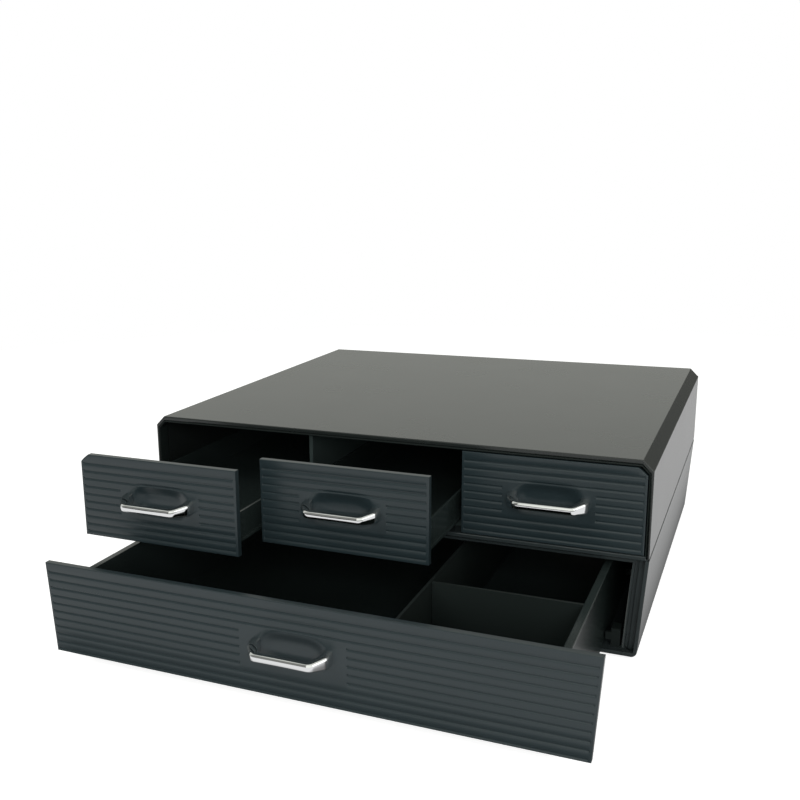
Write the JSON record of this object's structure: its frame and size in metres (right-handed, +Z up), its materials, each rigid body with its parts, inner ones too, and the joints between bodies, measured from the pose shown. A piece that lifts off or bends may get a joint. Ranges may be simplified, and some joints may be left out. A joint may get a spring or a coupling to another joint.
{
  "type": "capsule drawer unit",
  "caption": "Tiered drawer unit under a coffee machine: ribbed pod drawers side by side above a wide drawer with dividers, all with bow handles.",
  "frame": {"origin": "on the standing surface, at the middle of the case's footprint, under the middle foot", "axes": "+X to the right seen from the drawer fronts, +Y from the drawer fronts to the back, +Z up"},
  "size_m": [0.36, 0.4802, 0.1325],
  "materials": {
    "case_shell": "satin, fine grain",
    "inner_plastic": "satin moulded",
    "runner_plastic": "smooth moulded",
    "drawer_front": "satin moulded with ribbed lines",
    "tray_plastic": "smooth moulded",
    "handle_chrome": "bright nickel-chrome plating",
    "screws": "zinc plated, pan head",
    "feet": "matt moulded"
  },
  "bodies": {
    "case": {"upper_cover": "case_shell", "upper_mouth_frame": "case_shell", "upper_back_panel": "case_shell", "partition_left": "inner_plastic", "partition_right": "inner_plastic", "middle_shelf": "inner_plastic", "left_runners": "runner_plastic", "centre_runners": "runner_plastic", "right_runners": "runner_plastic", "lower_case": "case_shell", "lower_back_panel": "case_shell", "guide_block_left": "runner_plastic", "guide_block_right": "runner_plastic", "rubber_feet": "feet", "case_screws": "screws", "back_panel_screws": "screws"},
    "left_drawer": {"left_drawer_front": "drawer_front", "left_drawer_tray": "tray_plastic", "left_drawer_handle": "handle_chrome", "left_drawer_handle_screws": "screws", "left_drawer_front_screws": "screws"},
    "centre_drawer": {"centre_drawer_front": "drawer_front", "centre_drawer_tray": "tray_plastic", "centre_drawer_handle": "handle_chrome", "centre_drawer_handle_screws": "screws", "centre_drawer_front_screws": "screws"},
    "right_drawer": {"right_drawer_front": "drawer_front", "right_drawer_tray": "tray_plastic", "right_drawer_handle": "handle_chrome", "right_drawer_handle_screws": "screws", "right_drawer_front_screws": "screws"},
    "wide_drawer": {"wide_drawer_front": "drawer_front", "wide_drawer_tray": "tray_plastic", "long_divider": "tray_plastic", "cross_divider": "tray_plastic", "wide_drawer_handle": "handle_chrome", "wide_drawer_handle_screws": "screws", "wide_drawer_front_screws": "screws"}
  },
  "joints": [
    {"name": "left_drawer_slide", "type": "slide", "parent": "case", "child": "left_drawer", "axis": [0, -1, 0], "range_m": [-0.0944, 0.1354]},
    {"name": "centre_drawer_slide", "type": "slide", "parent": "case", "child": "centre_drawer", "axis": [0, -1, 0], "range_m": [-0.0642, 0.1656]},
    {"name": "right_drawer_slide", "type": "slide", "parent": "case", "child": "right_drawer", "axis": [0, -1, 0], "range_m": [0, 0.2298]},
    {"name": "wide_drawer_slide", "type": "slide", "parent": "case", "child": "wide_drawer", "axis": [0, -1, 0], "range_m": [-0.1387, 0.1111]}
  ]
}
